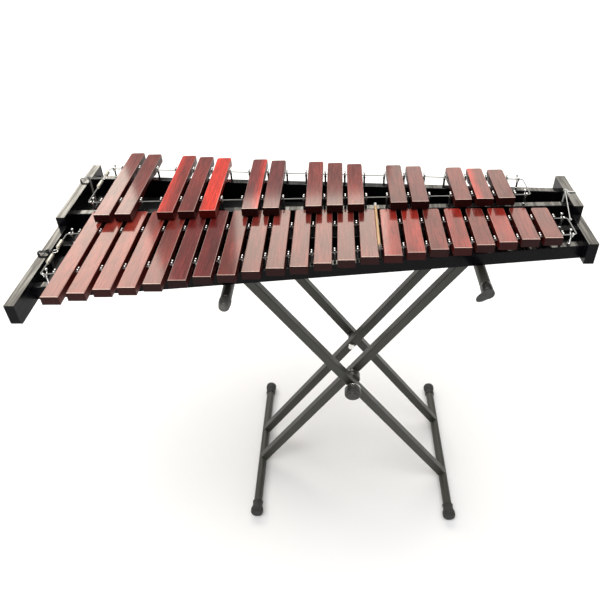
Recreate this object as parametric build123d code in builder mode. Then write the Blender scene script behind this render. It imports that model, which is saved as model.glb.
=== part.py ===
"""Table-top xylophone of three octaves on a folding double-X stand.

Frame: millimetres, +Z up, floor at Z = 0. X runs along the keyboard from the low
notes (-X) to the high notes (+X), and the player stands on the -Y side. X = 0 is
midway between the two middle natural bars.
"""
from math import hypot, pi
import os

from build123d import *

os.makedirs("parts", exist_ok=True)

# ---------------------------------------------------------------- driving dimensions
natural_top = 893.0        # height of the playing surface of the natural bars
accidental_rise = 24.0     # accidental bars stand this much higher
natural_count = 22
bar_pitch = 50.0           # centre to centre of neighbouring natural bars
bar_width = 38.5
bar_thickness = 20.0
bar_edge_radius = 1.5
bar_corner_radius = 6.0    # upright corners at the far end
bar_hole_radius = 2.2
longest_bar = 341.0        # lowest C
length_per_semitone = 6.45  # bars get shorter by this much per semitone ...
length_curvature = 0.017   # ... and a little less so towards the top
accidental_extra = 5.0     # accidentals are a little longer than the rule gives
naturals_rear_y = 28.0     # rear ends of the naturals at X = 0
naturals_rear_slope = -0.0094
accidentals_front_y = 3.0  # front ends of the accidentals at X = 0
accidentals_front_slope = 0.057
arch_share = 0.46          # part of a bar's length taken by the tuning arch underneath

rail_width = 20.0
rail_drop = 36.0           # bar top down to rail top
rail_bottom = 825.0
rail_edge_radius = 2.0
panel_thickness = 3.0
panel_lift = 1.0           # rail underside up to panel underside
panel_end_gap = 4.0        # clear of the end blocks and the cords tied round them

block_inner_x = 602.0      # end blocks: inner face
block_width = 22.0
block_low_top = 875.0
block_high_top = 899.0
block_bottom = 823.0

cord_radius = 1.2
cord_drop = 10.0           # bar top down to the suspension cord
cord_turn_radius = 6.0
sleeve_radius = 3.2
fork_spread = 4.6          # fork prong, away from the cord line
fork_wire_radius = 1.1
fork_ball_radius = 2.0
peg_spread = 9.0
peg_radius = 3.5
peg_ball_radius = 3.2
spring_radius = 5.0
spring_wire_radius = 0.9
tether_radius = 1.3

stand_x = 95.0             # stand's middle
stand_y = 21.0
stand_half_width = 283.0   # middle to a foot tube or a support tube
foot_z = 17.0              # centre of a foot tube
tube_radius = 12.5
tube_wall = 1.5
foot_half_length = 243.0
outer_arm_y = 105.6        # outer arms, away from the stand's middle
inner_arm_y = 57.3
arm_size = 24.0
arm_corner_radius = 3.0
body_gap = 0.3             # free gap between pieces that move past each other
running_gap = 0.05         # radial clearance of a shaft in its hole
cap_radius = 18.0
cap_length = 42.0
cap_grip = 24.0            # length of tube inside a cap
disc_radius = 21.0
bolt_radius = 5.0
knob_radius = 23.0
knob_depth = 34.0
nut_depth = 7.0
nut_radius = 9.0

# ---------------------------------------------------------------- derived positions
accidental_top = natural_top + accidental_rise
support_z = rail_bottom - body_gap - tube_radius
arm_run = 2 * stand_half_width
arm_rise = support_z - foot_z
arm_length = hypot(arm_run, arm_rise)
pivot_z = (support_z + foot_z) / 2


class Line:
    """A straight line in plan, y = offset + slope * x."""

    def __init__(self, offset, slope):
        self.offset = offset
        self.slope = slope

    def y(self, x):
        return self.offset + self.slope * x


natural_front_line = Line(-147.0, 0.119)
natural_rear_line = Line(-31.0, 0.038)
accidental_front_line = Line(57.0, 0.0076)
accidental_rear_line = Line(186.0, -0.094)
naturals_rear_ends = Line(naturals_rear_y, naturals_rear_slope)
accidentals_front_ends = Line(accidentals_front_y, accidentals_front_slope)

# semitones of the white notes and of the black notes within one octave
white_steps = [0, 2, 4, 5, 7, 9, 11]
black_slots = {1.5: 1, 2.5: 3, 4.5: 6, 5.5: 8, 6.5: 10}


def slot_x(slot):
    """X of a place on the keyboard, counted in naturals from 1 at the low end."""
    return (slot - (natural_count + 1) / 2) * bar_pitch


def bar_length(semitone):
    """Length of a bar that sounds this many semitones above the lowest bar."""
    return longest_bar - length_per_semitone * semitone + length_curvature * semitone**2


def save(builder, label):
    """Name a finished piece and write it."""
    builder.part.label = label
    export_step(builder.part, f"parts/{label}.step")


def save_group(shapes, label):
    """Write separate solids that share one node."""
    group = Compound(children=shapes, label=label)
    export_step(group, f"parts/{label}.step")


# ---------------------------------------------------------------- bars
def make_bars(label, bars, top, lines):
    """One or more bars: each is (x, front end, rear end)."""
    with BuildPart() as piece:
        for x, front, rear in bars:
            length = rear - front
            middle = (front + rear) / 2
            half_arch = length * arch_share / 2
            arch_depth = 4.0 + 4.0 * length / longest_bar
            bottom = top - bar_thickness
            with BuildSketch(Plane.YZ.offset(x - bar_width / 2)):
                with BuildLine():
                    arch_end = (middle + half_arch, bottom)
                    arch_start = (middle - half_arch, bottom)
                    Polyline(arch_start, (front, bottom), (front, top), (rear, top), (rear, bottom), arch_end)
                    ThreePointArc(arch_end, (middle, bottom + arch_depth), arch_start)
                make_face()
            extrude(amount=bar_width)
        for x, front, rear in bars:
            uprights = piece.edges().filter_by(Axis.Z)
            fillet(uprights.filter_by_position(Axis.Y, rear - 0.1, rear + 0.1), radius=bar_corner_radius)
        fillet(piece.edges().filter_by(Axis.Y).group_by(Axis.Z)[-1], radius=bar_edge_radius)
        for x, front, rear in bars:
            for line in lines:
                along = Vector(1, line.slope, 0)
                with BuildSketch(Plane(origin=(x, line.y(x), top - cord_drop), z_dir=along)):
                    Circle(bar_hole_radius)
                extrude(amount=bar_width, both=True, mode=Mode.SUBTRACT)
    save(piece, label)


for index in range(natural_count):
    octave, note = divmod(index, len(white_steps))
    bar_x = slot_x(index + 1)
    bar_rear = naturals_rear_ends.y(bar_x)
    bar_front = bar_rear - bar_length(12 * octave + white_steps[note])
    make_bars(
        f"natural_bar_{index + 1:02d}",
        [(bar_x, bar_front, bar_rear)],
        natural_top,
        [natural_front_line, natural_rear_line],
    )

for octave in range(3):
    for group_name, first, last in (("pair", 1, 3), ("trio", 4, 7)):
        group = []
        for slot, step in black_slots.items():
            if first < slot < last:
                bar_x = slot_x(slot + len(white_steps) * octave)
                bar_front = accidentals_front_ends.y(bar_x)
                bar_rear = bar_front + bar_length(12 * octave + step) + accidental_extra
                group.append((bar_x, bar_front, bar_rear))
        make_bars(
            f"accidental_{group_name}_{octave + 1}",
            group,
            accidental_top,
            [accidental_front_line, accidental_rear_line],
        )

# ---------------------------------------------------------------- rails and end blocks
def make_rail(label, line, top):
    """A straight rail under one line of posts, from end block to end block."""
    half = rail_width / 2
    left = -block_inner_x
    right = block_inner_x
    with BuildPart() as rail:
        with BuildSketch(Plane.XY.offset(rail_bottom)):
            with BuildLine():
                Polyline(
                    (left, line.y(left) - half),
                    (right, line.y(right) - half),
                    (right, line.y(right) + half),
                    (left, line.y(left) + half),
                    close=True,
                )
            make_face()
        extrude(amount=top - rail_bottom)
        long_edges = rail.faces().sort_by(Axis.Z)[-1].edges().sort_by(SortBy.LENGTH)[-2:]
        fillet(long_edges, radius=rail_edge_radius)
    save(rail, label)


make_rail("natural_front_rail", natural_front_line, natural_top - rail_drop)
make_rail("natural_rear_rail", natural_rear_line, natural_top - rail_drop)
make_rail("accidental_front_rail", accidental_front_line, accidental_top - rail_drop)
make_rail("accidental_rear_rail", accidental_rear_line, accidental_top - rail_drop)

# black boards that close the frame underneath, one between each rail and the next
rail_lines = [natural_front_line, natural_rear_line, accidental_front_line, accidental_rear_line]
panel_end = block_inner_x - panel_end_gap
panels = []
for front_line, rear_line in zip(rail_lines, rail_lines[1:]):
    with BuildPart() as panel:
        with BuildSketch(Plane.XY.offset(rail_bottom + panel_lift)):
            with BuildLine():
                Polyline(
                    (-panel_end, front_line.y(-panel_end) + rail_width / 2),
                    (panel_end, front_line.y(panel_end) + rail_width / 2),
                    (panel_end, rear_line.y(panel_end) - rail_width / 2),
                    (-panel_end, rear_line.y(-panel_end) - rail_width / 2),
                    close=True,
                )
            make_face()
        extrude(amount=panel_thickness)
    panels.append(panel.part)
save_group(panels, "bottom_panels")


def make_block(label, inner_x, front, step, rear):
    """A stepped end block, drawn from the side and given its width along X."""
    with BuildPart() as block:
        with BuildSketch(Plane.YZ.offset(inner_x)) as side:
            with BuildLine():
                Polyline(
                    (front, block_bottom),
                    (front, block_low_top),
                    (step, block_low_top),
                    (step, block_high_top),
                    (rear, block_high_top),
                    (rear, block_bottom),
                    close=True,
                )
            make_face()
            corners = side.vertices().group_by(Axis.Y)
            fillet(corners[0].sort_by(Axis.Z)[0], radius=8)
            fillet(corners[-1].sort_by(Axis.Z)[-1], radius=12)
            fillet(corners[0].sort_by(Axis.Z)[-1], radius=2.5)
        extrude(amount=block_width)
    save(block, label)


make_block("left_end_block", -block_inner_x - block_width, -314.0, -5.0, 280.0)
make_block("right_end_block", block_inner_x, -107.0, 17.0, 168.0)

# ---------------------------------------------------------------- posts that carry the cords
half_slots = [index + 0.5 for index in range(natural_count + 1)]
whole_slots = [index + 1.0 for index in range(natural_count - 1)]
post_rows = [
    (natural_front_line, natural_top, half_slots),
    (natural_rear_line, natural_top, half_slots),
    (accidental_front_line, accidental_top, whole_slots),
    (accidental_rear_line, accidental_top, whole_slots),
]

fork_depth = cord_radius + 2 * fork_wire_radius + body_gap  # cord centre down to the fork's underside
sleeve_height = rail_drop - cord_drop - fork_depth
with BuildPart() as sleeve:
    with BuildSketch(Plane.XY):
        Circle(sleeve_radius)
    extrude(amount=sleeve_height)
    fillet(sleeve.edges().sort_by(Axis.Z)[-1], radius=1)

prong_base = -cord_drop - fork_depth
with BuildPart() as fork:
    with BuildSketch(Plane.XZ.offset(-fork_spread)):
        with Locations((0, prong_base + fork_wire_radius)):
            Circle(fork_wire_radius)
    extrude(amount=2 * fork_spread)
    for side in (-1, 1):
        with Locations((0, side * fork_spread, prong_base + fork_wire_radius)):
            Cylinder(fork_wire_radius, -prong_base - 2.0, align=(Align.CENTER, Align.CENTER, Align.MIN))
        with Locations((0, side * fork_spread, -fork_ball_radius)):
            Sphere(fork_ball_radius)

sleeves = []
forks = []
for line, top, slots in post_rows:
    for slot in slots:
        x = slot_x(slot)
        sleeves.append(Location((x, line.y(x), top - rail_drop)) * sleeve.part)
        forks.append(Location((x, line.y(x), top)) * fork.part)
save_group(sleeves, "post_sleeves")

peg_height = rail_drop - cord_drop - 3.5
with BuildPart() as peg:
    with BuildSketch(Plane.XY):
        Circle(peg_radius + 1.5)
    with BuildSketch(Plane.XY.offset(peg_height)):
        Circle(peg_radius)
    loft()
    with BuildSketch(Plane.XZ.offset(-peg_spread)):
        with Locations((0, peg_height - fork_wire_radius)):
            Circle(fork_wire_radius)
    extrude(amount=2 * peg_spread)
    for side in (-1, 1):
        with Locations((0, side * peg_spread, peg_height - fork_wire_radius)):
            Cylinder(fork_wire_radius, cord_drop, align=(Align.CENTER, Align.CENTER, Align.MIN))
        with Locations((0, side * peg_spread, peg_height + cord_drop)):
            Sphere(peg_ball_radius)

natural_peg_x = 571.0
accidental_peg_left = -548.0
accidental_peg_right = 501.0
pegs = []
for line in (natural_front_line, natural_rear_line):
    for x in (-natural_peg_x, natural_peg_x):
        pegs.append(Location((x, line.y(x), natural_top - rail_drop)) * peg.part)
for line in (accidental_front_line, accidental_rear_line):
    for x in (accidental_peg_left, accidental_peg_right):
        pegs.append(Location((x, line.y(x), accidental_top - rail_drop)) * peg.part)
save_group(forks + pegs, "post_forks")

# ---------------------------------------------------------------- suspension cords and springs
def make_cord(label, front, rear, z, left, right, front_end, rear_end):
    """A cord from one spring, along both lines of posts, back to the other spring."""
    route = [
        (left, front_end, z),
        (left, front.y(left), z),
        (right, front.y(right), z),
        (right, rear.y(right), z),
        (left, rear.y(left), z),
        (left, rear_end, z),
    ]
    with BuildPart() as cord:
        with BuildLine() as path:
            FilletPolyline(*route, radius=cord_turn_radius)
        with BuildSketch(Plane(origin=route[0], z_dir=path.line % 0)):
            Circle(cord_radius)
        sweep(path=path.line)
    save(cord, label)
    length = sum(edge.length for edge in path.line.edges())
    ratio = cord.part.volume / (pi * cord_radius**2 * length)
    print(f"{label}: length {length:.0f} mm, turn radius {cord_turn_radius} mm, volume ratio {ratio:.4f}")


natural_cord_z = natural_top - cord_drop
accidental_cord_z = accidental_top - cord_drop
natural_spring_x = -583.0
accidental_spring_x = -560.0
natural_springs = [(-178.0, -136.0), (-118.0, -78.0)]
accidental_springs = [(126.0, 172.0), (194.0, 224.0)]
make_cord(
    "natural_cord", natural_front_line, natural_rear_line, natural_cord_z,
    natural_spring_x, natural_peg_x + 12.0, natural_springs[0][0], natural_springs[1][1],
)
make_cord(
    "accidental_cord", accidental_front_line, accidental_rear_line, accidental_cord_z,
    accidental_spring_x, accidental_peg_right + 12.0, accidental_springs[0][0], accidental_springs[1][1],
)

springs = []
for x, z, spans in (
    (natural_spring_x, natural_cord_z, natural_springs),
    (accidental_spring_x, accidental_cord_z, accidental_springs),
):
    for start, end in spans:
        with BuildPart() as spring:
            with BuildSketch(Plane.XZ.offset(-start)):
                with Locations((x, z)):
                    Circle(spring_radius)
                    Circle(spring_radius - 2 * spring_wire_radius, mode=Mode.SUBTRACT)
            extrude(amount=-(end - start))
        springs.append(spring.part)
save_group(springs, "tension_springs")


def make_ring(x, y, z):
    """Flat ring that joins a pair of springs to its tether."""
    with BuildPart() as ring:
        with BuildSketch(Plane.XY.offset(z - 1.0)):
            with Locations((x, y)):
                Circle(7.0)
                Circle(4.6, mode=Mode.SUBTRACT)
        extrude(amount=2.0)
    return ring.part


natural_ring_y = (natural_springs[0][1] + natural_springs[1][0]) / 2
accidental_ring_y = (accidental_springs[0][1] + accidental_springs[1][0]) / 2
save_group(
    [
        make_ring(natural_spring_x, natural_ring_y, natural_cord_z),
        make_ring(accidental_spring_x, accidental_ring_y, accidental_cord_z),
    ],
    "spring_rings",
)


def make_tether(block_x, y, block_top, tail_start, tail_end):
    """A loop tied round an end block, and its free end that pulls on a ring or cord."""
    gap = 0.2
    inner_width = block_width + 2 * gap
    inner_height = block_top - block_bottom + 2 * gap
    with BuildPart() as tether:
        with BuildSketch(Plane.XZ.offset(-y - tether_radius)):
            with Locations((block_x, (block_top + block_bottom) / 2)):
                RectangleRounded(inner_width + 4 * tether_radius, inner_height + 4 * tether_radius, 3.5)
                Rectangle(inner_width, inner_height, mode=Mode.SUBTRACT)
        extrude(amount=2 * tether_radius)
        tail = Vector(*tail_end) - Vector(*tail_start)
        with BuildSketch(Plane(origin=tail_start, z_dir=tail)):
            Circle(tether_radius)
        extrude(amount=tail.length)
    return tether.part


left_block_x = -block_inner_x - block_width / 2
right_block_x = block_inner_x + block_width / 2
tail_x = block_inner_x - 1.6
right_tether_y = 84.0
natural_cord_right = natural_peg_x + 12.0
natural_tether = make_tether(
    left_block_x, natural_ring_y, block_low_top,
    (-tail_x, natural_ring_y, block_low_top - 2.0),
    (natural_spring_x - 8.6, natural_ring_y, natural_cord_z),
)
accidental_tether = make_tether(
    left_block_x, accidental_ring_y, block_high_top,
    (-tail_x, accidental_ring_y, block_high_top - 2.0),
    (accidental_spring_x - 8.6, accidental_ring_y, accidental_cord_z),
)
right_tether = make_tether(
    right_block_x, right_tether_y, block_high_top,
    (tail_x, right_tether_y, block_high_top - 2.0),
    (natural_cord_right + 3.0, natural_rear_line.y(natural_cord_right) - 12.0, natural_cord_z),
)
save_group([natural_tether, accidental_tether, right_tether], "block_tethers")

# ---------------------------------------------------------------- mallet left between two bars
stick_radius = 3.2
with BuildPart() as mallet_stick:
    stick_rear = 46.0
    stick_length = 200.0
    with BuildSketch(Plane.XZ.offset(-stick_rear)):
        with Locations((146.5, natural_top + stick_radius + 0.6)):
            Circle(stick_radius)
    extrude(amount=stick_length)
    fillet(mallet_stick.edges(), radius=0.8)
save(mallet_stick, "mallet_stick")

# ---------------------------------------------------------------- folding stand
left_x = stand_x - stand_half_width
right_x = stand_x + stand_half_width


def make_arm(label, foot_x, top_x, y, bolt_hole):
    """A square tube from a foot tube up to the support tube on the other side."""
    direction = Vector(top_x - foot_x, 0, arm_rise)
    start = Plane(origin=(foot_x, y, foot_z), x_dir=(0, 1, 0), z_dir=direction)
    with BuildPart() as arm:
        with BuildSketch(start):
            RectangleRounded(arm_size, arm_size, arm_corner_radius)
            RectangleRounded(
                arm_size - 2 * tube_wall, arm_size - 2 * tube_wall, arm_corner_radius - tube_wall, mode=Mode.SUBTRACT
            )
        extrude(amount=arm_length)
        for x, z in ((foot_x, foot_z), (top_x, support_z)):
            with BuildSketch(Plane.XZ.offset(-y - arm_size)):
                with Locations((x, z)):
                    Circle(tube_radius)
            extrude(amount=2 * arm_size, mode=Mode.SUBTRACT)
        with BuildSketch(Plane.XZ.offset(-y - arm_size)):
            with Locations((stand_x, pivot_z)):
                Circle(bolt_hole)
        extrude(amount=2 * arm_size, mode=Mode.SUBTRACT)
    save(arm, label)


def make_tube(label, x, z, front, rear):
    """A round tube along Y."""
    with BuildPart() as tube:
        with BuildSketch(Plane.XZ.offset(-front)):
            with Locations((x, z)):
                Circle(tube_radius)
                Circle(tube_radius - tube_wall, mode=Mode.SUBTRACT)
        extrude(amount=front - rear)
    save(tube, label)


def make_caps(label, x, z, front, rear, flat):
    """Ribbed rubber caps on both ends of a tube; foot caps have a flat underneath."""
    outline = [
        (0, -cap_length + cap_grip),
        (cap_radius - 5, -cap_length + cap_grip),
        (cap_radius, -cap_length + cap_grip + 6),
        (cap_radius, cap_grip - 8),
        (cap_radius - 4, cap_grip),
        (tube_radius + running_gap, cap_grip),
        (tube_radius + running_gap, 0),
        (0, 0),
    ]
    caps = []
    for y, inward in ((front, 1), (rear, -1)):
        with BuildPart() as cap:
            with BuildSketch(Plane(origin=(x, y, z), x_dir=(1, 0, 0), z_dir=(0, 0, 1))):
                with BuildLine():
                    Polyline(*[(radius, inward * along) for radius, along in outline], close=True)
                make_face()
            revolve(axis=Axis((x, y, z), (0, 1, 0)))
            if flat:
                with Locations((x, y, -cap_radius)):
                    Box(3 * cap_radius, 3 * cap_length, 2 * cap_radius, mode=Mode.SUBTRACT)
        caps.append(cap.part)
    save_group(caps, label)


outer_hole = bolt_radius + running_gap
make_arm("outer_front_arm", right_x, left_x, stand_y - outer_arm_y, outer_hole)
make_arm("outer_rear_arm", right_x, left_x, stand_y + outer_arm_y, outer_hole)
make_arm("inner_front_arm", left_x, right_x, stand_y - inner_arm_y, outer_hole)
make_arm("inner_rear_arm", left_x, right_x, stand_y + inner_arm_y, outer_hole)

foot_front = stand_y - foot_half_length
foot_rear = stand_y + foot_half_length
make_tube("outer_foot_tube", right_x, foot_z, foot_front, foot_rear)
make_tube("inner_foot_tube", left_x, foot_z, foot_front, foot_rear)
make_caps("outer_foot_caps", right_x, foot_z, foot_front, foot_rear, True)
make_caps("inner_foot_caps", left_x, foot_z, foot_front, foot_rear, True)

outer_support_front = -234.0
inner_support_front = -190.0
support_length = 456.0
make_tube("outer_support_tube", left_x, support_z, outer_support_front, outer_support_front + support_length)
make_tube("inner_support_tube", right_x, support_z, inner_support_front, inner_support_front + support_length)

plug_flange = 12.0
plug_depth = 20.0


def make_plugs(label, x, front, rear):
    """Ribbed plastic plugs in both ends of a support tube, no wider than the tube."""
    plugs = []
    for y, outward in ((front, -1), (rear, 1)):
        with BuildPart() as plug:
            with BuildSketch(Plane.XZ.offset(-y)):
                with Locations((x, support_z)):
                    Circle(tube_radius)
            extrude(amount=-outward * plug_flange)
            with BuildSketch(Plane.XZ.offset(-y)):
                with Locations((x, support_z)):
                    Circle(tube_radius - tube_wall - running_gap)
            extrude(amount=outward * plug_depth)
            rim = plug.edges().filter_by(GeomType.CIRCLE).sort_by(Axis.Y)[0 if outward < 0 else -1]
            fillet(rim, radius=2)
        plugs.append(plug.part)
    save_group(plugs, label)


make_plugs("outer_support_plugs", left_x, outer_support_front, outer_support_front + support_length)
make_plugs("inner_support_plugs", right_x, inner_support_front, inner_support_front + support_length)


def make_round(label, near, far, radius, hole, edge):
    """A round piece on the pivot axis, from Y near to Y far, with a bolt hole."""
    with BuildPart() as piece:
        with BuildSketch(Plane.XZ.offset(-near)):
            with Locations((stand_x, pivot_z)):
                Circle(radius)
                if hole:
                    Circle(hole, mode=Mode.SUBTRACT)
        extrude(amount=near - far)
        rims = piece.edges().filter_by(GeomType.CIRCLE).group_by(SortBy.RADIUS)[-1]
        fillet(rims, radius=edge)
    save(piece, label)


half_arm = arm_size / 2
outer_front_face = stand_y - outer_arm_y - half_arm
outer_front_back = outer_front_face + arm_size
inner_front_face = stand_y - inner_arm_y - half_arm
inner_front_back = inner_front_face + arm_size
inner_rear_face = stand_y + inner_arm_y - half_arm
inner_rear_back = inner_rear_face + arm_size
outer_rear_face = stand_y + outer_arm_y - half_arm
outer_rear_back = outer_rear_face + arm_size

disc_joint = (outer_front_back + inner_front_face) / 2
make_round("outer_clutch_disc", outer_front_back, disc_joint - body_gap / 2, disc_radius, outer_hole, 1.5)
make_round("inner_clutch_disc", disc_joint + body_gap / 2, inner_front_face, disc_radius, outer_hole, 1.5)
make_round("rear_spacer", inner_rear_back + body_gap, outer_rear_face, nut_radius, outer_hole, 1.0)

knob_face = outer_front_face - body_gap
with BuildPart() as lock_knob:
    with BuildSketch(Plane.XZ.offset(-knob_face)):
        with Locations((stand_x, pivot_z)):
            Circle(knob_radius)
            Circle(outer_hole, mode=Mode.SUBTRACT)
    extrude(amount=knob_depth)
    with BuildSketch(Plane.XZ.offset(-knob_face)):
        with Locations((stand_x, pivot_z)):
            with PolarLocations(knob_radius + 2.0, 10):
                Circle(4.0)
    extrude(amount=knob_depth, mode=Mode.SUBTRACT)
save(lock_knob, "lock_knob")


def make_bolt(head_y, shaft_end, nut_y, head_radius):
    """A pivot bolt along Y with a round head at its front and a hexagon nut behind."""
    with BuildPart() as bolt:
        with BuildSketch(Plane.XZ.offset(-head_y)):
            with Locations((stand_x, pivot_z)):
                Circle(bolt_radius)
        extrude(amount=head_y - shaft_end)
        if head_radius:
            with BuildSketch(Plane.XZ.offset(-head_y)):
                with Locations((stand_x, pivot_z)):
                    Circle(head_radius)
            extrude(amount=-nut_depth)
        with BuildSketch(Plane.XZ.offset(-nut_y)):
            with Locations((stand_x, pivot_z)):
                RegularPolygon(nut_radius, 6)
        extrude(amount=-nut_depth)
    return bolt.part


front_bolt = make_bolt(
    knob_face - knob_depth - 2.0,
    inner_front_back + body_gap + nut_depth + 2.0,
    inner_front_back + body_gap,
    0,
)
rear_bolt = make_bolt(
    inner_rear_face - body_gap - nut_depth,
    outer_rear_back + nut_depth + 2.0,
    outer_rear_back,
    nut_radius,
)
save_group([front_bolt, rear_bolt], "pivot_bolts")
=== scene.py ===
"""Looks of the xylophone: materials, fittings, floor, light and camera.

Everything is in metres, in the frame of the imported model: X runs along the keyboard,
the player stands on the -Y side, and the floor is at Z = 0.
"""
import math

import bmesh
import bpy
from mathutils import Matrix, Vector


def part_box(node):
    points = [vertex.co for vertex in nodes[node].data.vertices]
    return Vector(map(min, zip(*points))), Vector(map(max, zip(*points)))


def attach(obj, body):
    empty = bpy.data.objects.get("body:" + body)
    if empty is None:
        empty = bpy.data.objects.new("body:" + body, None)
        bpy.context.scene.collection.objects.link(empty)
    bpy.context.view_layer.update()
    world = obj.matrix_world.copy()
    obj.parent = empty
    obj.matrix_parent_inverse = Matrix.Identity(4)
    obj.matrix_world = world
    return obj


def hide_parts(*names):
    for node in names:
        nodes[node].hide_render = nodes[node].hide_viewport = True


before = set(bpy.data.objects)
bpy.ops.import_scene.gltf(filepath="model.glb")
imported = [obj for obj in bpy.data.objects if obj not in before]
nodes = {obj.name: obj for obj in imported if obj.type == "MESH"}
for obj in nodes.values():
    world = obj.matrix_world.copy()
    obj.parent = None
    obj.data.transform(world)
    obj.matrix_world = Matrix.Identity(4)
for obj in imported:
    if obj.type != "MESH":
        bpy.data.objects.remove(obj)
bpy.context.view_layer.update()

MM = 0.001
FRONTWARD = Vector((0, -1, 0))

# ------------------------------------------------------------------ camera
camera_data = bpy.data.cameras.new("camera")
camera = bpy.data.objects.new("camera", camera_data)
bpy.context.scene.collection.objects.link(camera)
camera_place = Vector((0.0588, -1.2269, 1.6141))
camera_yaw = math.radians(4.76)
camera_pitch = math.radians(38.40)
camera_roll = math.radians(-3.18)
level_right = Vector((math.cos(camera_yaw), math.sin(camera_yaw), 0))
level_forward = Vector((-math.sin(camera_yaw), math.cos(camera_yaw), 0))
forward = level_forward * math.cos(camera_pitch) - Vector((0, 0, math.sin(camera_pitch)))
upward = level_forward * math.sin(camera_pitch) + Vector((0, 0, math.cos(camera_pitch)))
right = level_right * math.cos(camera_roll) + upward * math.sin(camera_roll)
upward = upward * math.cos(camera_roll) - level_right * math.sin(camera_roll)
turn = Matrix((right, upward, -forward)).transposed().to_4x4()
camera.matrix_world = Matrix.Translation(camera_place) @ turn
camera_data.sensor_width = 36.0
camera_data.lens = 35.84
camera_data.clip_end = 60.0
bpy.context.scene.camera = camera
bpy.context.scene.view_settings.view_transform = "Standard"


# ------------------------------------------------------------------ material helpers
class Graph:
    """A material's node tree, with short ways to add and join nodes."""

    def __init__(self, name):
        self.material = bpy.data.materials.new(name)
        self.material.use_nodes = True
        self.tree = self.material.node_tree
        self.shader = self.tree.nodes["Principled BSDF"]
        self.coordinates = self.add("ShaderNodeTexCoord")
        self.place = self.coordinates.outputs["Object"]

    def add(self, kind, **settings):
        node = self.tree.nodes.new(kind)
        for key, value in settings.items():
            setattr(node, key, value)
        return node

    def join(self, output, socket):
        self.tree.links.new(output, socket)

    def set(self, **values):
        for key, value in values.items():
            self.shader.inputs[key.replace("_", " ")].default_value = value

    def noise(self, stretch, scale, detail=4.0, offset=(0, 0, 0)):
        """Noise over the piece, squeezed by stretch = (x, y, z)."""
        mapping = self.add("ShaderNodeMapping")
        mapping.inputs["Scale"].default_value = stretch
        mapping.inputs["Location"].default_value = offset
        self.join(self.place, mapping.inputs["Vector"])
        noise = self.add("ShaderNodeTexNoise")
        noise.inputs["Scale"].default_value = scale
        noise.inputs["Detail"].default_value = detail
        self.join(mapping.outputs["Vector"], noise.inputs["Vector"])
        return noise.outputs["Fac"]

    def spread(self, value, low, high, start=0.0, end=1.0):
        """Maps low..high to start..end, held at both ends."""
        node = self.add("ShaderNodeMapRange")
        limits = {"From Min": low, "From Max": high, "To Min": start, "To Max": end}
        for key, number in limits.items():
            node.inputs[key].default_value = number
        self.join(value, node.inputs["Value"])
        return node.outputs["Result"]

    def facing(self, axis):
        """How squarely the surface faces along X, Y or Z (0, 1 or 2), from 0 to 1."""
        split = self.add("ShaderNodeSeparateXYZ")
        self.join(self.coordinates.outputs["Normal"], split.inputs["Vector"])
        absolute = self.add("ShaderNodeMath", operation="ABSOLUTE")
        self.join(split.outputs[axis], absolute.inputs[0])
        return absolute.outputs["Value"]

    def blend(self, factor, first, second):
        """Mixes two colours; each is a colour or another node's output."""
        node = self.add("ShaderNodeMix", data_type="RGBA")
        self.join(factor, node.inputs[0])
        for socket, colour in ((node.inputs[6], first), (node.inputs[7], second)):
            if isinstance(colour, tuple):
                socket.default_value = (*colour, 1.0)
            else:
                self.join(colour, socket)
        return node.outputs[2]

    def bump(self, height, strength, distance):
        node = self.add("ShaderNodeBump")
        node.inputs["Strength"].default_value = strength
        node.inputs["Distance"].default_value = distance
        self.join(height, node.inputs["Height"])
        return node.outputs["Normal"]

    def finish(self, colour=None, roughness=None, normal=None):
        for key, output in (("Base Color", colour), ("Roughness", roughness), ("Normal", normal)):
            if output is not None:
                self.join(output, self.shader.inputs[key])
        return self.material


def shade(colour, factor):
    return tuple(channel * factor for channel in colour)


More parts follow.
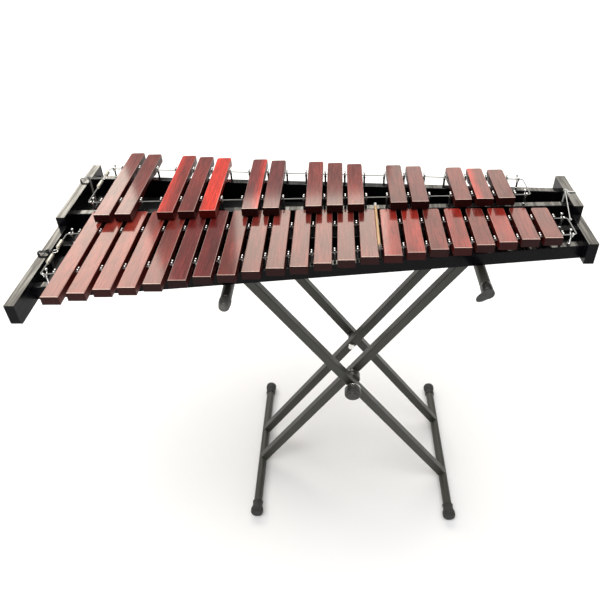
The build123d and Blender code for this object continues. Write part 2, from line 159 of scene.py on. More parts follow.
def bar_wood(name, stain, seed, front_y, flame=None):
    """Stained and lacquered hardwood: grain along the bar, painted highlights on the rounded edges and
    behind the front top edge, painted shade on the sides, and end faces darkened by end grain and by
    painted shade.

    flame = (colour, x_from, x_to) brings in a second tone of stain across the bar.
    """
    g = Graph(name)
    split = g.add("ShaderNodeSeparateXYZ")
    g.join(g.place, split.inputs["Vector"])
    offset = (seed * 1.7, seed * 0.9, seed * 0.3)
    cloud = g.noise((1.0, 0.3, 1.0), 30.0, 5.0, offset)
    figure = g.noise((1.0, 0.06, 1.0), 330.0, 5.0, offset)
    pores = g.noise((1.0, 0.06, 1.0), 1100.0, 2.0, offset)
    specks = g.noise((1.0, 1.0, 1.0), 900.0, 1.0, offset)
    stained = g.blend(g.spread(cloud, 0.35, 0.68), shade(stain, 0.62), shade(stain, 1.3))
    if flame:
        second_tone, x_from, x_to = flame
        stained = g.blend(g.spread(split.outputs["X"], x_from, x_to, 0.0, 0.9), stained, second_tone)
    grained = g.blend(g.spread(figure, 0.42, 0.66, 0.0, 0.6), stained, shade(stain, 0.38))
    pored = g.blend(g.spread(pores, 0.58, 0.70, 0.0, 0.6), grained, shade(stain, 0.15))
    worn = g.blend(g.spread(specks, 0.69, 0.75, 0.0, 0.35), pored, (0.50, 0.30, 0.24))
    lit_top = g.spread(g.facing(2), 0.55, 0.8)
    # painted highlight: a pale colour on the rounded long edges of the top
    edge_highlighted = g.blend(g.spread(g.facing(2), 0.70, 0.97, 0.75, 0.0), worn, (0.75, 0.48, 0.40))
    # painted highlight: a pale line just behind the front top edge, mixed in on the next line
    front_highlight = g.spread(split.outputs["Y"], front_y + 0.0012, front_y + 0.0020, 0.8, 0.0)
    rubbed_and_highlighted = g.blend(front_highlight, edge_highlighted, (0.80, 0.56, 0.48))
    # painted shade: faces that don't face up get the stain at 30 percent, the tops keep their colour
    side = g.blend(lit_top, shade(stain, 0.30), rubbed_and_highlighted)
    # end faces darkest: dark end grain and painted shade
    ends = g.blend(g.spread(g.facing(1), 0.6, 0.85), side, shade(stain, 0.10))
    g.join(g.spread(g.facing(2), 0.3, 0.9, 0.05, 0.8), g.shader.inputs["Coat Weight"])
    g.set(Coat_Roughness=0.09, IOR=1.5, Specular_IOR_Level=0.12)
    roughness = g.spread(figure, 0.3, 0.7, 0.34, 0.5)
    return g.finish(ends, roughness, g.bump(pores, 0.22, 0.0003))


def black_gloss(name):
    """Black lacquer over wood, with a faint orange peel, dust and dulled patches."""
    g = Graph(name)
    patches = g.noise((1, 0.4, 1), 18.0, 6.0)
    peel = g.noise((1, 1, 1), 320.0, 2.0)
    dust = g.noise((1, 1, 1), 1300.0, 1.0)
    scuffs = g.noise((1, 0.06, 1), 240.0, 4.0)
    scuffed = g.blend(g.spread(scuffs, 0.60, 0.74, 0.0, 0.6), (0.007, 0.007, 0.008), (0.10, 0.10, 0.09))
    dusty = g.blend(g.spread(dust, 0.64, 0.72, 0.0, 0.5), scuffed, (0.16, 0.16, 0.14))
    upward_faces = g.spread(g.facing(2), 0.5, 0.95)
    colour = g.blend(upward_faces, (0.003, 0.003, 0.004), dusty)
    rubbed_and_highlighted = g.add("ShaderNodeMath", operation="MULTIPLY")
    streaks = g.noise((1.0, 0.05, 1.0), 150.0, 3.0, (3.1, 0.0, 0.0))
    g.join(g.spread(streaks, 0.42, 0.58, 0.35, 1.0), rubbed_and_highlighted.inputs[0])
    g.join(g.spread(g.facing(2), 0.3, 0.9, 0.04, 1.0), rubbed_and_highlighted.inputs[1])
    g.join(rubbed_and_highlighted.outputs["Value"], g.shader.inputs["Coat Weight"])
    g.set(Coat_Roughness=0.06, Specular_IOR_Level=0.08)
    return g.finish(colour, g.spread(patches, 0.35, 0.7, 0.16, 0.40), g.bump(peel, 0.10, 0.0004))


def chrome(name, tint=(0.83, 0.83, 0.82), rough=(0.08, 0.24)):
    """Bright plated metal with fine handling marks."""
    g = Graph(name)
    marks = g.noise((1, 1, 1), 600.0, 4.0)
    g.set(Metallic=1.0)
    colour = g.blend(g.spread(marks, 0.4, 0.75), tint, shade(tint, 0.72))
    return g.finish(colour, g.spread(marks, 0.35, 0.7, *rough))


def powder_coat(name, colour):
    """Fine-textured stand paint, rubbed lighter in places."""
    g = Graph(name)
    grain = g.noise((1, 1, 1), 1800.0, 2.0)
    wear = g.noise((1, 1, 1), 22.0, 6.0)
    scuffs = g.noise((1, 1, 0.12), 160.0, 4.0)
    worn = g.blend(g.spread(wear, 0.42, 0.75, 0.0, 0.6), colour, shade(colour, 1.8))
    painted = g.blend(g.spread(scuffs, 0.68, 0.76, 0.0, 0.5), worn, shade(colour, 3.2))
    g.set(Coat_Weight=0.12, Coat_Roughness=0.3, Specular_IOR_Level=0.4)
    return g.finish(painted, g.spread(wear, 0.3, 0.7, 0.38, 0.55), g.bump(grain, 0.3, 0.0003))


def moulded(name, colour, low, high):
    """Moulded rubber or plastic with a fine spark-eroded grain."""
    g = Graph(name)
    grain = g.noise((1, 1, 1), 2400.0, 2.0)
    grime = g.noise((1, 1, 1), 60.0, 5.0)
    tinted = g.blend(g.spread(grime, 0.45, 0.75), colour, shade(colour, 2.2))
    return g.finish(tinted, g.spread(grime, 0.3, 0.7, low, high), g.bump(grain, 0.35, 0.0003))


def braid(name, colour):
    """Twisted cord: slanted strands and a little fuzz."""
    g = Graph(name)
    mapping = g.add("ShaderNodeMapping")
    mapping.inputs["Rotation"].default_value = (0.6, 0.6, 0.8)
    g.join(g.place, mapping.inputs["Vector"])
    wave = g.add("ShaderNodeTexWave")
    wave.inputs["Scale"].default_value = 260.0
    wave.inputs["Distortion"].default_value = 1.5
    g.join(mapping.outputs["Vector"], wave.inputs["Vector"])
    strands = wave.outputs["Fac"]
    tinted = g.blend(strands, shade(colour, 0.55), colour)
    g.set(Sheen_Weight=0.25, Sheen_Roughness=0.5)
    return g.finish(tinted, g.spread(strands, 0, 1, 0.55, 0.75), g.bump(strands, 0.6, 0.0005))


def dowel(name):
    """Plain hardwood dowel along Y, a pale dipped tip at the rear and a dark one in front."""
    g = Graph(name)
    figure = g.noise((1.0, 0.06, 1.0), 500.0, 4.0)
    wood = g.blend(g.spread(figure, 0.35, 0.7), (0.62, 0.40, 0.19), (0.40, 0.22, 0.09))
    split = g.add("ShaderNodeSeparateXYZ")
    g.join(g.place, split.inputs["Vector"])
    front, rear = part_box("mallet_stick")[0].y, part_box("mallet_stick")[1].y
    tipped = g.blend(g.spread(split.outputs["Y"], rear - 0.014, rear - 0.012), wood, (0.62, 0.61, 0.58))
    clear_of_dirt = g.spread(split.outputs["Y"], front + 0.012, front + 0.022)
    soiled = g.blend(clear_of_dirt, (0.05, 0.03, 0.02), tipped)
    g.set(Coat_Weight=0.3, Coat_Roughness=0.2)
    return g.finish(soiled, g.spread(figure, 0.3, 0.7, 0.38, 0.5), g.bump(figure, 0.2, 0.0003))


gloss = black_gloss("black_gloss_lacquer")
bright = chrome("bright_plating", (0.93, 0.92, 0.89), (0.16, 0.32))
spring_bright = chrome("spring_plating", (0.90, 0.86, 0.74), (0.25, 0.4))
stand_paint = powder_coat("stand_powder_coat", (0.027, 0.027, 0.021))
board = moulded("black_painted_board", (0.006, 0.006, 0.006), 0.6, 0.8)
creased = moulded("creased_plastic", (0.020, 0.020, 0.018), 0.08, 0.25)
ribbed = moulded("ribbed_plastic", (0.045, 0.044, 0.040), 0.16, 0.30)
rubber = moulded("black_rubber", (0.016, 0.016, 0.015), 0.55, 0.75)
plastic = moulded("black_plastic", (0.018, 0.018, 0.017), 0.28, 0.45)
grey_cord = braid("grey_cord", (0.42, 0.41, 0.38))
black_cord = braid("black_cord", (0.03, 0.03, 0.03))
white_cord = braid("white_cord", (0.92, 0.91, 0.87))
dowel_wood = dowel("plain_dowel_wood")


# ------------------------------------------------------------------ measuring the CAD
def solids(name):
    """The box (low, high) of each separate solid of a CAD node, from left to right."""
    mesh = bmesh.new()
    mesh.from_mesh(nodes[name].data)
    bmesh.ops.remove_doubles(mesh, verts=mesh.verts, dist=1e-6)
    left_over = set(mesh.verts)
    boxes = []
    while left_over:
        stack = [left_over.pop()]
        found = list(stack)
        while stack:
            for edge in stack.pop().link_edges:
                for vert in edge.verts:
                    if vert in left_over:
                        left_over.remove(vert)
                        stack.append(vert)
                        found.append(vert)
        low = Vector(min(vert.co[axis] for vert in found) for axis in range(3))
        high = Vector(max(vert.co[axis] for vert in found) for axis in range(3))
        boxes.append((low, high))
    mesh.free()
    return sorted(boxes, key=lambda box: (box[0].x, box[0].y))


def middle_of(box):
    return (box[0] + box[1]) / 2


# ------------------------------------------------------------------ the bars' stains
stains = {
    "rose": (0.30, 0.030, 0.019),
    "wine": (0.150, 0.011, 0.011),
    "brown": (0.205, 0.022, 0.016),
    "red": (0.33, 0.022, 0.014),
    "scarlet": (0.74, 0.028, 0.009),
    "dark": (0.15, 0.020, 0.015),
}
natural_stains = (
    "rose rose rose rose brown wine wine brown brown brown brown "
    "brown brown brown red red brown red brown red brown brown"
).split()
accidental_stains = (
    "brown brown red brown scarlet wine wine brown dark brown dark wine brown brown dark"
).split()


def paint(name, *materials):
    """Gives a CAD node new materials in place of its plain one."""
    slots = nodes[name].data.materials
    slots.clear()
    for material in materials:
        slots.append(material)


for index, stain in enumerate(natural_stains):
    name = f"natural_bar_{index + 1:02d}"
    paint(name, bar_wood(f"wood_{name}", stains[stain], index + 1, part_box(name)[0].y))

# accidentals whose stain turns to a second tone towards one long edge: (tone, to the left?)
flames = {3: ("scarlet", True), 6: ("scarlet", False), 14: ("scarlet", True)}
accidental_seeds = 40      # keeps their grain apart from the naturals', which have 1 to 22
for octave in range(3):
    for kind, first in (("pair", 0), ("trio", 2)):
        name = f"accidental_{kind}_{octave + 1}"
        woods = []
        middles = []
        for place, (low, high) in enumerate(solids(name)):
            number = 5 * octave + first + place + 1
            stain = stains[accidental_stains[number - 1]]
            middle_x = (low.x + high.x) / 2
            flame = None
            if number in flames:
                tone, toward_left = flames[number]
                flame = (stains[tone], middle_x, low.x if toward_left else high.x)
            wood_name = f"wood_accidental_bar_{number:02d}"
            woods.append(bar_wood(wood_name, stain, accidental_seeds + number, low.y, flame))
            middles.append(middle_x)
        paint(name, *woods)
        for polygon in nodes[name].data.polygons:
            distances = [abs(middle - polygon.center.x) for middle in middles]
            polygon.material_index = distances.index(min(distances))

finishes = {
    gloss: (
        "natural_front_rail natural_rear_rail accidental_front_rail accidental_rear_rail "
        "left_end_block right_end_block"
    ),
    stand_paint: (
        "outer_front_arm outer_rear_arm outer_foot_tube outer_support_tube "
        "inner_front_arm inner_rear_arm inner_foot_tube inner_support_tube"
    ),
    board: "bottom_panels",
    plastic: "rear_spacer",
    bright: "pivot_bolts",
    grey_cord: "natural_cord accidental_cord",
    dowel_wood: "mallet_stick",
}
for material, names in finishes.items():
    for name in names.split():
        paint(name, material)


# ------------------------------------------------------------------ mesh helpers
def sweep(mesh, path, radii, sides=10, closed=False, profile=None):
    """A round rod along a path, with a radius at each point.

    profile(direction) scales the radius by the direction away from the path.
    """
    count = len(path)
    tangent = (path[1] - path[0]).normalized()
    normal = tangent.orthogonal().normalized()
    rings = []
    for index in range(count):
        before = path[index - 1] if index or closed else path[0]
        after = path[(index + 1) % count] if index + 1 < count or closed else path[-1]
        if (after - before).length > 1e-7:
            tangent = (after - before).normalized()
        normal = (normal - tangent * normal.dot(tangent)).normalized()
        across = tangent.cross(normal)
        ring = []
        for side in range(sides):
            angle = math.tau * side / sides
            offset = normal * math.cos(angle) + across * math.sin(angle)
            radius = radii[index] * (profile(offset) if profile else 1.0)
            ring.append(mesh.verts.new(path[index] + offset * radius))
        rings.append(ring)
    pairs = list(zip(rings, rings[1:]))
    if closed:
        pairs.append((rings[-1], rings[0]))
    for first, second in pairs:
        for side in range(sides):
            following = (side + 1) % sides
            mesh.faces.new((first[side], first[following], second[following], second[side]))
    if not closed:
        mesh.faces.new(reversed(rings[0]))
        mesh.faces.new(rings[-1])


def lathe(mesh, origin, axis, outline, sides=24, profile=None):
    """A turned piece: outline lists (distance along the axis, radius)."""
    axis = Vector(axis).normalized()
    path = [Vector(origin) + axis * distance for distance, radius in outline]
    sweep(mesh, path, [radius for distance, radius in outline], sides, profile=profile)


def scaled(outline, radius):
    """An outline whose radii are given as shares of one radius, in metres."""
    return [(distance, share * radius) for distance, share in outline]


def rod(mesh, path, radius, sides, closed=False):
    sweep(mesh, [Vector(point) for point in path], [radius] * len(path), sides, closed)


def smooth_path(points, steps):
    """An open curve that passes through the points (Catmull-Rom)."""
    points = [Vector(point) for point in points]
    count = len(points)
    path = []
    for index in range(count - 1):
        a, b = points[max(index - 1, 0)], points[index]
        c, d = points[index + 1], points[min(index + 2, count - 1)]
        squared = 2 * a - 5 * b + 4 * c - d
        cubed = 3 * b - a - 3 * c + d
        for step in range(steps):
            t = step / steps
            path.append(0.5 * (2 * b + (c - a) * t + squared * t**2 + cubed * t**3))
    path.append(points[-1])
    return path


def ball_ended(path, wire, ball, shank):
    """Radii along a path for a wire with a ball at each end; shank is the ball's length."""
    lengths = [0.0]
    for first, second in zip(path, path[1:]):
        lengths.append(lengths[-1] + (second - first).length)
    radii = []
    for length in lengths:
        near = min(length, lengths[-1] - length)
        bulge = math.sqrt(max(0.0, 1.0 - (near / shank * 2.0 - 1.0) ** 2)) if near < shank else 0.0
        radii.append(max(wire if near > shank / 2 else wire * 0.5, ball * bulge))
    return radii


def piece(name, mesh, body, node_names, slot, *materials):
    """Turns a bmesh into a smooth object that rides on a body and stands for CAD nodes."""
    bmesh.ops.recalc_face_normals(mesh, faces=mesh.faces)
    data = bpy.data.meshes.new(name)
    mesh.to_mesh(data)
    mesh.free()
    for polygon in data.polygons:
        polygon.use_smooth = True
    data.set_sharp_from_angle(angle=math.radians(38))
    for material in materials:
        data.materials.append(material)
    obj = bpy.data.objects.new(name, data)
    bpy.context.scene.collection.objects.link(obj)
    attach(obj, body)
    for node_name in node_names:
        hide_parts(node_name)
    return obj


# ------------------------------------------------------------------ posts
sleeves = bmesh.new()
for low, high in solids("post_sleeves"):
    centre = middle_of((low, high))
    radius = (high.x - low.x) / 2
    height = high.z - low.z
    outline = [(0.0, radius * 0.92), (0.0004, radius), (0.0026, radius), (0.0030, radius * 0.80)]
    outline += [(height * 0.55, radius * 0.76), (height - 0.0042, radius * 0.76)]
    outline += [(height - 0.0036, radius * 0.98), (height - 0.0010, radius * 0.98)]
    outline += [(height, radius * 0.80)]
    lathe(sleeves, (centre.x, centre.y, low.z), (0, 0, 1), outline, 14)
piece("post_sleeve_rubbers", sleeves, "instrument", ["post_sleeves"], "black_rubber", rubber)

# one CAD node holds both: the corner pegs are the solids at least this wide across the cord
peg_width = 18 * MM
fork_boxes = [box for box in solids("post_forks") if box[1].y - box[0].y < peg_width]
peg_boxes = [box for box in solids("post_forks") if box[1].y - box[0].y >= peg_width]
forks = bmesh.new()
wire = 1.1 * MM
ball = 2.7 * MM
for low, high in fork_boxes:
    centre = middle_of((low, high))
    reach = (high.y - low.y) / 2 - ball
    floor_z = low.z + wire
    top_z = high.z - ball * 0.2
    side = [(reach, top_z), (reach, top_z - 0.001), (reach, top_z - 0.002), (reach, top_z - 0.003)]
    side += [(reach, top_z - 0.004), (reach * 0.96, floor_z + 0.0035), (reach * 0.62, floor_z + 0.0008)]
    outline = [(-y, z) for y, z in side] + [(0.0, floor_z)] + list(reversed(side))
    path = smooth_path([(centre.x, centre.y + y, z) for y, z in outline], 3)
    sweep(forks, path, ball_ended(path, wire, ball, 2 * ball), 8)
    collar = [(0.0, wire), (0.0006, 2.5 * MM), (0.0024, 2.5 * MM), (0.0030, wire)]
    lathe(forks, (centre.x, centre.y, floor_z - 0.0014), (0, 0, 1), collar, 12)
piece("post_fork_wires", forks, "instrument", ["post_forks"], "chrome_wire", bright)

pegs = bmesh.new()
wire = 1.7 * MM
ball = 3.2 * MM
for low, high in peg_boxes:
    centre = middle_of((low, high))
    reach = (high.y - low.y) / 2 - ball
    saddle_z = high.z - 2 * ball - 0.006
    side = [(reach, high.z - 0.2 * MM), (reach, high.z - 0.0016), (reach, high.z - 0.0032)]
    side += [(reach, high.z - 0.0048), (reach, high.z - 0.0064)]
    side += [(reach * 0.95, saddle_z + 0.003), (reach * 0.6, saddle_z + 0.0006)]
    outline = [(-y, z) for y, z in side] + [(0.0, saddle_z)] + list(reversed(side))
    path = smooth_path([(centre.x, centre.y + y, z) for y, z in outline], 4)
    sweep(pegs, path, ball_ended(path, wire, ball, 2 * ball), 12)
    height = saddle_z - low.z
    stem = [(0.0, 3.3 * MM), (0.0008, 3.5 * MM), (0.004, 3.5 * MM), (0.0046, 2.6 * MM)]
    stem += [(height * 0.5, 2.5 * MM), (height - 0.003, 2.6 * MM)]
    stem += [(height - 0.0022, 3.2 * MM), (height + 0.0012, 2.9 * MM)]
    lathe(pegs, (centre.x, centre.y, low.z), (0, 0, 1), stem, 16)
piece("corner_peg_forks", pegs, "instrument", ["post_forks"], "chrome_wire", bright)

# ------------------------------------------------------------------ springs, rings and tied cords
coils = bmesh.new()
spring_wire = 0.9 * MM
hook = 6 * MM              # length of the straight hook at each end of a spring
steps = 14                 # points in one turn of the coil
for low, high in solids("tension_springs"):
    centre = middle_of((low, high))
    radius = (high.x - low.x) / 2 - spring_wire
    start, end = low.y + hook, high.y - hook
    turns = round((end - start) / (2.15 * spring_wire))
    points = [(centre.x, low.y + spring_wire, centre.z - 0.002)]
    points += [(centre.x, low.y + 0.002, centre.z + 0.0015)]
    points += [(centre.x + 0.3 * radius, low.y + 0.0045, centre.z + radius * 0.6)]
    for step in range(turns * steps + 1):
        angle = math.tau * step / steps
        y = start + (end - start) * step / (turns * steps)
        points.append((centre.x + radius * math.sin(angle), y, centre.z + radius * math.cos(angle)))
    points += [(centre.x + 0.3 * radius, high.y - 0.0045, centre.z + radius * 0.6)]
    points += [(centre.x, high.y - 0.002, centre.z + 0.0015)]
    points += [(centre.x, high.y - spring_wire, centre.z - 0.002)]
    rod(coils, points, spring_wire, 7)
piece("tension_spring_coils", coils, "instrument", ["tension_springs"], "spring_steel", spring_bright)

ring_mesh = bmesh.new()
for low, high in solids("spring_rings"):
    centre = middle_of((low, high))
    thin = min(high[axis] - low[axis] for axis in range(3)) / 2
    flat_axis = min(range(3), key=lambda axis: high[axis] - low[axis])
    radius = max(high[axis] - low[axis] for axis in range(3)) / 2 - thin
    first, second = (Vector(row) for index, row in enumerate(Matrix.Identity(3)) if index != flat_axis)
    circle = []
    for step in range(32):
        angle = math.tau * step / 32
        circle.append(centre + radius * (first * math.cos(angle) + second * math.sin(angle)))
    rod(ring_mesh, circle, thin, 12, closed=True)
piece("spring_ring_wires", ring_mesh, "instrument", ["spring_rings"], "chrome_wire", bright)


def around_block(block, low_z, high_z, y, turns, radius):
    """A cord's path wound round an end block: a rounded rectangle that creeps along Y."""
    left, right_side = block[0].x - radius, block[1].x + radius
    bend = 0.004
    corners = (
        (right_side - bend, high_z - bend, 0), (left + bend, high_z - bend, 90),
        (left + bend, low_z + bend, 180), (right_side - bend, low_z + bend, 270),
    )
    flat = []
    for x, z, start in corners:
        for step in range(4):
            angle = math.radians(start + 30 * step)
            flat.append((x + bend * math.cos(angle), z + bend * math.sin(angle)))
    path = []
    for index in range(turns * len(flat) + 1):
        x, z = flat[index % len(flat)]
        path.append(Vector((x, y + 2.1 * radius * index / len(flat), z)))
    return path


def knot(mesh, centre, size, radius):
    """A trefoil knot, pulled tight."""
    path = []
    for step in range(48):
        t = math.tau * step / 48
        across = math.sin(t) + 2 * math.sin(2 * t)
        upright = math.cos(t) - 2 * math.cos(2 * t)
        bight = Vector((across, -math.sin(3 * t) * 1.1, upright))
        path.append(Vector(centre) + bight * size / 3)
    sweep(mesh, path, [radius] * len(path), 8, closed=True)


tether_radius = 1.3 * MM
tail_radius = tether_radius * 0.75
ring_side = Vector((0.0055, 0, 0))     # from a ring's middle to the wire that a tether is tied to
# how a tether's loose end curls away from its knot: (inward, along Y, up)
loose_end = ((0, 0, 0), (-0.004, -0.006, 0.003), (-0.001, -0.014, 0.0015), (-0.006, -0.019, -0.0005))
ring_boxes = solids("spring_rings")
natural_cord_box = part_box("natural_cord")
tether_boxes = solids("block_tethers")
right_low = tether_boxes[2][0]
tether_ends = (
    middle_of(ring_boxes[0]) - ring_side,
    middle_of(ring_boxes[1]) - ring_side,
    Vector((right_low.x + tether_radius, right_low.y + tether_radius, natural_cord_box[1].z)),
)
tether_cords = (black_cord, grey_cord, white_cord)
tether_names = ("natural", "accidental", "right")
for index, (low, high) in enumerate(tether_boxes):
    on_right = tether_names[index] == "right"
    block_name = "right_end_block" if on_right else "left_end_block"
    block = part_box(block_name)
    if on_right:
        inner_x, inward, turns = block[0].x, -1, 2
        y = high.y - tether_radius
    else:
        inner_x, inward, turns = block[1].x, 1, 3
        y = middle_of((low, high)).y
    mesh = bmesh.new()
    low_z, high_z = low.z + tether_radius, high.z - tether_radius
    wrap = around_block(block, low_z, high_z, y - 0.003, turns, tether_radius)
    rod(mesh, wrap, tether_radius, 9)
    knot_place = Vector((inner_x + inward * 0.0015, y, high.z + 0.0012))
    knot(mesh, knot_place, 0.0042, tether_radius * 0.8)
    end = tether_ends[index]
    half_way = (knot_place + end) / 2
    for side, sag in ((-1, -0.0015), (1, 0.001)):
        shift = Vector((0, 0.0016 * side, 0))
        tail = [knot_place + shift, half_way + shift * 1.2 + Vector((0, 0, sag)), end + shift * 0.7]
        rod(mesh, smooth_path(tail, 8), tail_radius, 8)
    knot(mesh, end + Vector((-0.0006, 0, 0.0008)), 0.0030, tether_radius * 0.7)
    curl = [knot_place + Vector((inward * x, along, z)) for x, along, z in loose_end]
    rod(mesh, smooth_path(curl, 6), tail_radius, 8)
    replaced = ["block_tethers"] if index == 0 else []
    name = f"{tether_names[index]}_tether_cord"
    piece(name, mesh, "instrument", replaced, "suspension_cord", tether_cords[index])


# ------------------------------------------------------------------ stand fittings
def along_y(box, front):
    """Origin and direction of a turned piece lying along Y, from its hidden end outward."""
    centre = middle_of(box)
    if front:
        return Vector((centre.x, box[1].y, centre.z)), FRONTWARD
    return Vector((centre.x, box[0].y, centre.z)), -FRONTWARD


def ribs(count, depth):
    """A profile with ribs all round a piece that lies along Y."""
    return lambda direction: 1.0 + depth * math.cos(count * math.atan2(direction.x, direction.z))


foot_axis_z = middle_of(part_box("outer_foot_tube")).z
for side, body in (("outer", "outer_legs"), ("inner", "inner_legs")):
    mesh = bmesh.new()
    for box in sorted(solids(f"{side}_foot_caps"), key=lambda box: box[0].y):
        front = box[0].y < 0
        origin, direction = along_y(box, front)
        origin.z = foot_axis_z
        length = box[1].y - box[0].y
        radius = box[1].z - foot_axis_z
        outline = [(0.0, 0.80), (0.0015, 0.86), (0.004, 0.86), (0.0052, 0.79), (length * 0.34, 0.80)]
        outline += [(length * 0.48, 0.88), (length * 0.60, 0.965), (length * 0.74, 0.975)]
        outline += [(length * 0.88, 0.95), (length * 0.955, 0.87), (length * 0.99, 0.70)]
        outline += [(length, 0.45)]
        lathe(mesh, origin, direction, scaled(outline, radius), 40)
        if front:
            band = [(length * 0.40, 0.78), (length * 0.50, 0.90), (length * 0.62, 0.985)]
            band += [(length * 0.78, 0.99), (length * 0.90, 0.955), (length * 0.94, 0.85)]
            lathe(mesh, origin, direction, scaled(band, radius), 120, ribs(24, 0.022))
        else:
            band = [(length * 0.36, 0.78), (length * 0.38, 0.87)]
            band += [(length * 0.42, 0.87), (length * 0.44, 0.78)]
            lathe(mesh, origin, direction, scaled(band, radius), 40)
    for vert in mesh.verts:
        vert.co.z = max(vert.co.z, 0.0)
    piece(f"{side}_foot_rubbers", mesh, body, [f"{side}_foot_caps"], "black_rubber", rubber)

support_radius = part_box("outer_support_tube")[1].z - middle_of(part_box("outer_support_tube")).z
for side, body in (("outer", "outer_legs"), ("inner", "inner_legs")):
    mesh = bmesh.new()
    for box in solids(f"{side}_support_plugs"):
        front = middle_of(box).y < 0
        origin, direction = along_y(box, front)
        length = box[1].y - box[0].y
        tear = front and side == "inner"
        start = length - 0.030
        outline = [(start, support_radius + 0.0001), (start + 0.001, support_radius + 0.0008)]
        if tear:
            outline += [(start + 0.010, support_radius + 0.0011), (start + 0.016, support_radius + 0.0006)]
            outline += [(length - 0.006, support_radius + 0.0013)]
            outline += [(length - 0.004, support_radius + 0.0004)]
            lip = [(length - 0.0045, 0.0118), (length - 0.0035, 0.0138)]
            lip += [(length - 0.0010, 0.0140), (length, 0.0128)]
            tip = Vector((-0.75, 0, -0.66))
            lathe(mesh, origin, direction, lip, 72, lambda away: 1.0 + 1.15 * max(0.0, away.dot(tip)) ** 7)
        else:
            ridges = 6
            for ridge in range(ridges):
                at = start + 0.003 + ridge * 0.0042
                swell = support_radius + 0.0014 - 0.0006 * max(0, ridge - 2)
                ridge_outline = ((0.0, -0.0022), (0.0010, -0.0022), (0.0019, 0.0), (0.0030, -0.0001))
                outline += [(at + step, swell + rise) for step, rise in ridge_outline]
            outline += [(length - 0.0012, support_radius - 0.0015), (length, support_radius - 0.004)]
        lathe(mesh, origin, direction, outline, 40)
    finish = creased if side == "inner" else ribbed
    piece(f"{side}_support_end_plugs", mesh, body, [f"{side}_support_plugs"], "black_plastic", finish)

for side, body in (("outer", "outer_legs"), ("inner", "inner_legs")):
    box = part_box(f"{side}_clutch_disc")
    centre = middle_of(box)
    length = box[1].y - box[0].y
    radius = (box[1].x - box[0].x) / 2
    origin = Vector((centre.x, box[1].y, centre.z))
    mesh = bmesh.new()
    outline = [(0.0, 0.60), (0.0008, 0.93), (0.0025, 1.0)]
    outline += [(length - 0.0025, 1.0), (length - 0.0008, 0.93), (length, 0.60)]
    lathe(mesh, origin, FRONTWARD, scaled(outline, radius), 64)
    teeth = [(0.0030, 0.96), (0.0038, 0.985), (length - 0.0038, 0.985), (length - 0.0030, 0.96)]
    lathe(mesh, origin, FRONTWARD, scaled(teeth, radius), 144, ribs(36, 0.014))
    piece(f"{side}_clutch_toothed_disc", mesh, body, [f"{side}_clutch_disc"], "black_plastic", ribbed)

knob_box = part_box("lock_knob")
knob_centre = middle_of(knob_box)
knob_origin = Vector((knob_centre.x, knob_box[1].y, knob_centre.z))
knob_depth = knob_box[1].y - knob_box[0].y
knob_radius = (knob_box[1].x - knob_box[0].x) / 2
mesh = bmesh.new()
hub = [(0.0, 0.50), (0.0006, 0.54), (0.008, 0.54), (0.0085, 0.60)]
lathe(mesh, knob_origin, FRONTWARD, scaled(hub, knob_radius), 40)
grip = [(0.0080, 0.55), (0.0086, 0.90), (0.0118, 0.90), (0.0122, 0.94), (0.015, 0.955)]
grip += [(knob_depth - 0.006, 0.965), (knob_depth - 0.0028, 0.93)]
grip += [(knob_depth - 0.0008, 0.84), (knob_depth, 0.72)]
lathe(mesh, knob_origin, FRONTWARD, scaled(grip, knob_radius), 144, ribs(30, 0.012))
bolt_end = knob_box[1].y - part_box("pivot_bolts")[0].y
boss_top = max(bolt_end, knob_depth) + 0.0006      # the boss covers the bolt's end
boss = [(knob_depth - 0.002, 0.62), (knob_depth - 0.0002, 0.60)]
boss += [(boss_top, 0.50), (boss_top + 0.0006, 0.30)]
lathe(mesh, knob_origin, FRONTWARD, scaled(boss, knob_radius), 40)
piece("lock_knob_grip", mesh, "lock_knob", ["lock_knob"], "black_plastic", plastic)
mesh = bmesh.new()
band = [(0.0088, 0.88), (0.0092, 0.935), (0.0096, 0.945)]
band += [(0.0112, 0.945), (0.0116, 0.935), (0.0120, 0.88)]
lathe(mesh, knob_origin, FRONTWARD, scaled(band, knob_radius), 64)
piece("lock_knob_band", mesh, "lock_knob", [], "chrome_wire", bright)

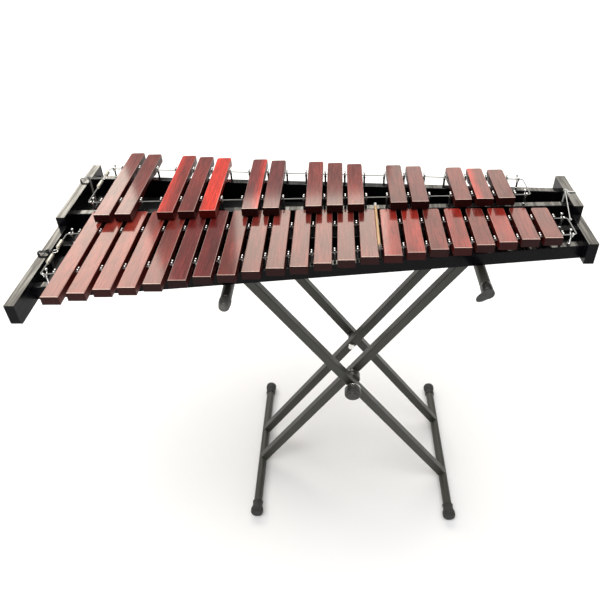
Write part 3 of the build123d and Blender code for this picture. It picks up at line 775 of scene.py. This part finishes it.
# ------------------------------------------------------------------ floor, light
floor_data = bpy.data.meshes.new("floor")
floor_half = 30.0
corners = [(x * floor_half, y * floor_half, 0) for x, y in ((-1, -1), (1, -1), (1, 1), (-1, 1))]
floor_data.from_pydata(corners, [], [(0, 1, 2, 3)])
floor = bpy.data.objects.new("floor", floor_data)
bpy.context.scene.collection.objects.link(floor)
floor_graph = Graph("studio_floor")
floor_mottle = floor_graph.noise((1, 1, 1), 3.0, 2.0)
floor_colour = floor_graph.blend(floor_mottle, (0.90, 0.90, 0.90), (0.93, 0.93, 0.93))
floor_graph.set(Specular_IOR_Level=0.1)
floor_roughness = floor_graph.spread(floor_mottle, 0, 1, 0.8, 0.9)
floor_data.materials.append(floor_graph.finish(floor_colour, floor_roughness))

world = bpy.data.worlds.new("studio")
bpy.context.scene.world = world
world.use_nodes = True
background = world.node_tree.nodes["Background"]
sky_place = world.node_tree.nodes.new("ShaderNodeTexCoord")
sky_split = world.node_tree.nodes.new("ShaderNodeSeparateXYZ")
sky_height = world.node_tree.nodes.new("ShaderNodeMapRange")
# white at the horizon, dimmer above, so that the lacquer mirrors a darker sky
sky_limits = {"From Min": 0.10, "From Max": 0.34, "To Min": 1.0, "To Max": 0.33}
for key, number in sky_limits.items():
    sky_height.inputs[key].default_value = number
world.node_tree.links.new(sky_place.outputs["Generated"], sky_split.inputs["Vector"])
world.node_tree.links.new(sky_split.outputs["Z"], sky_height.inputs["Value"])
world.node_tree.links.new(sky_height.outputs["Result"], background.inputs["Strength"])
background.inputs["Color"].default_value = (1.0, 1.0, 1.0, 1.0)

sun_data = bpy.data.lights.new("overhead_bank", "SUN")
sun_data.energy = 2.5
sun_data.angle = math.radians(65)
sun = bpy.data.objects.new("overhead_bank", sun_data)
sun.rotation_euler = (math.radians(6), math.radians(-8), 0)
bpy.context.scene.collection.objects.link(sun)


bar_level = Vector((0.0, 0.0, 0.9))
window_y = 3.6


def softbox(name, place, size, radiance):
    """A rectangular area light behind the instrument, aimed at the bars."""
    data = bpy.data.lights.new(name, "AREA")
    data.shape = "RECTANGLE"
    data.size, data.size_y = size
    data.energy = math.pi * size[0] * size[1] * radiance
    data.color = (1.0, 0.93, 0.80)
    lamp = bpy.data.objects.new(name, data)
    lamp.location = place
    lamp.rotation_euler = (bar_level - Vector(place)).to_track_quat("-Z", "Y").to_euler()
    bpy.context.scene.collection.objects.link(lamp)


softbox("window_left", (-2.65, window_y, 3.4), (1.7, 1.9), 5.2)
softbox("window_middle", (-0.20, window_y, 3.65), (1.5, 1.4), 4.8)
softbox("window_inner_right", (1.0, window_y, 3.3), (1.1, 1.6), 2.0)
softbox("window_right", (2.25, window_y, 3.1), (1.3, 1.7), 2.5)
